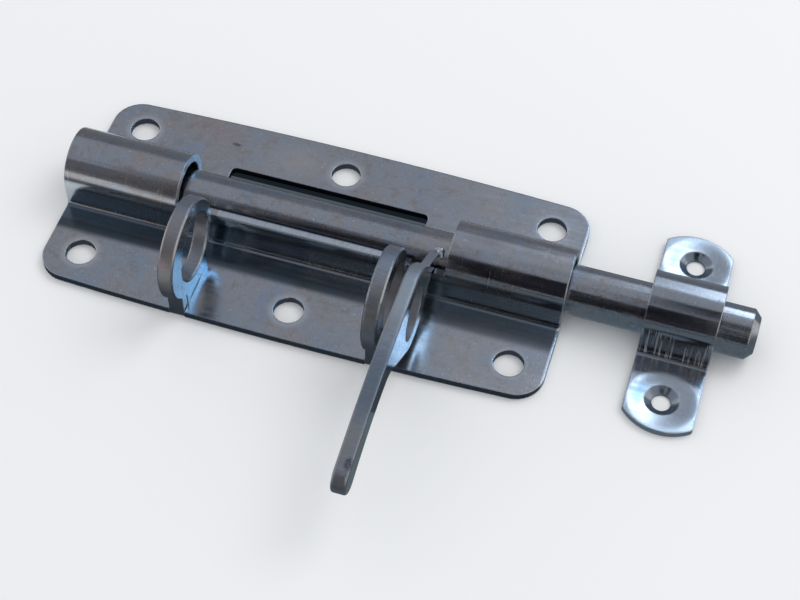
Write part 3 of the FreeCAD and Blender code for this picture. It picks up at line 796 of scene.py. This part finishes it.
def set_cards(look):
    """The room that the metal mirrors, in metres."""
    card("ceiling_card", (2.8, 1.81), (0.0, 0.175, 0.95), DOWN, look.ceiling)
    card("back_card", (2.8, 0.95), (0.0, 1.08, 0.475), BACK, look.back_wall)
    card("dark_flag", (0.66, 1.25), (-0.03, -0.95, 0.645), FORTH, look.flag)
    card("side_flag", (1.04, 1.10), (-0.88, -0.95, 0.72), FORTH, look.side_flag)
    card("left_card", (0.26, 0.36), (-0.27, -0.60, 0.93), DOWN, look.flag, 3.0)
    card("right_card", (0.45, 0.53), (0.295, -0.375, 0.93), DOWN, look.flag)

    # tables, by their left, right, near and far edges in millimetres:
    # grey close in front, beside and beyond the part, dark elsewhere and under the screw holes
    for name, edges, colour in (
        ("table_card", (-40.0, 1000.0, -940.0, -110.0), look.table),
        ("near_table_card", (-40.0, 70.5, -110.0, -47.0), look.near_table),
        ("side_table_card", (70.5, 1000.0, -110.0, 40.0), look.near_table),
        ("edge_card", (-500.0, 70.5, -47.0, -31.0), look.table),
        ("left_table_card", (-500.0, -40.0, -65.0, -47.0), look.table),
        ("far_table_card", (-700.0, 900.0, 40.0, 1060.0), look.far_table),
        ("near_hole_card", (-70.5, 70.5, -31.0, -8.6), look.table),
        ("far_hole_card", (-70.5, 70.5, 18.4, 33.8), look.table),
    ):
        card(name, *lying(*edges), UP, colour)

    window = card("window_card", (0.62, 0.66), (0.31, 0.72, 0.66), (0.0, -0.72, -0.66),
                  look.sky, look.window_level)
    shade_window(window, look)


def set_shades(look):
    """Dark glowing panels on the floor as painted shade: deep under the far side of the slot, lighter under the
    bolt.
    """
    for name, near, far, colour in (("shade_card", 16.1, 18.4, look.shade),
                                    ("under_card", -8.6, 16.1, look.under)):
        size, place = lying(WINDOW_LEFT + 0.15, WINDOW_RIGHT - 0.15, near, far)
        shade = panel(name, size, place, UP, lit_material(name, colour))
        shade.visible_shadow = False
        shade.visible_diffuse = False


def set_key_light():
    """A square soft lamp beyond the part, which doesn't show in the metal."""
    place, aim = Vector((0.5, 0.5, 0.9)), Vector((0.03, 0.0, 0.0))
    data = bpy.data.lights.new("key_light", "AREA")
    data.shape = "RECTANGLE"
    data.size = data.size_y = 0.6
    data.energy = 2.5
    lamp = bpy.data.objects.new("key_light", data)
    lamp.location = place
    lamp.rotation_mode = "QUATERNION"
    lamp.rotation_quaternion = (place - aim).to_track_quat("Z", "Y")
    lamp.visible_camera = False
    lamp.visible_glossy = False
    bpy.context.scene.collection.objects.link(lamp)


def set_camera(scene, look):
    """The camera at the photograph's viewing angle."""
    place = (0.101081, -0.269548, 0.370837)
    right = (0.955711, 0.294001, 0.013432)
    up = (-0.245550, 0.771388, 0.587083)
    back = (0.162242, -0.564380, 0.809415)
    data = bpy.data.cameras.new("camera")
    data.sensor_width = 36.0
    data.lens = look.lens
    data.clip_start = 0.01
    data.clip_end = 20.0
    camera = bpy.data.objects.new("camera", data)
    axes = Matrix((right, up, back)).transposed()
    camera.matrix_world = Matrix.Translation(place) @ axes.to_4x4()
    scene.collection.objects.link(camera)
    scene.camera = camera


class PADBOLT_OT_stage(Operator):
    """Set the pale floor, the soft light and the camera"""

    bl_idname = "padbolt.stage"
    bl_label = "Stage"

    def execute(self, context):
        look = stage_settings()
        scene = context.scene
        scene.view_settings.view_transform = "Standard"
        set_floor(look)
        set_daylight(scene, look)
        set_cards(look)
        set_shades(look)
        set_key_light()
        set_camera(scene, look)
        return {"FINISHED"}


class PADBOLT_PT_sidebar(Panel):
    """Buttons and settings of the padbolt"""

    bl_idname = "PADBOLT_PT_sidebar"
    bl_label = "Padbolt"
    bl_space_type = "VIEW_3D"
    bl_region_type = "UI"
    bl_category = "Padbolt"

    def draw(self, context):
        column = self.layout.column(align=True)
        for operator in OPERATORS:
            column.operator(operator.bl_idname)
        for group in (plating(), stage_settings()):
            box = self.layout.box()
            for name in group.__annotations__:
                box.prop(group, name)


OPERATORS = (
    PADBOLT_OT_back_plate,
    PADBOLT_OT_ears,
    PADBOLT_OT_bolt,
    PADBOLT_OT_lever,
    PADBOLT_OT_keeper,
    PADBOLT_OT_stage,
)
CLASSES = (PlatingSettings, StageSettings, *OPERATORS, PADBOLT_PT_sidebar)


def register():
    """Register every class and hang the settings on the scene."""
    for item in CLASSES:
        bpy.utils.register_class(item)
    bpy.types.Scene.padbolt_plating = PointerProperty(type=PlatingSettings)
    bpy.types.Scene.padbolt_stage = PointerProperty(type=StageSettings)


def unregister():
    """Take the settings and classes away again."""
    del bpy.types.Scene.padbolt_stage
    del bpy.types.Scene.padbolt_plating
    for item in reversed(CLASSES):
        bpy.utils.unregister_class(item)


def main():
    """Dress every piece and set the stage."""
    register()
    bpy.ops.padbolt.back_plate()
    bpy.ops.padbolt.ears()
    bpy.ops.padbolt.bolt()
    bpy.ops.padbolt.lever()
    bpy.ops.padbolt.keeper()
    bpy.ops.padbolt.stage()


if __name__ == "__main__":
    main()
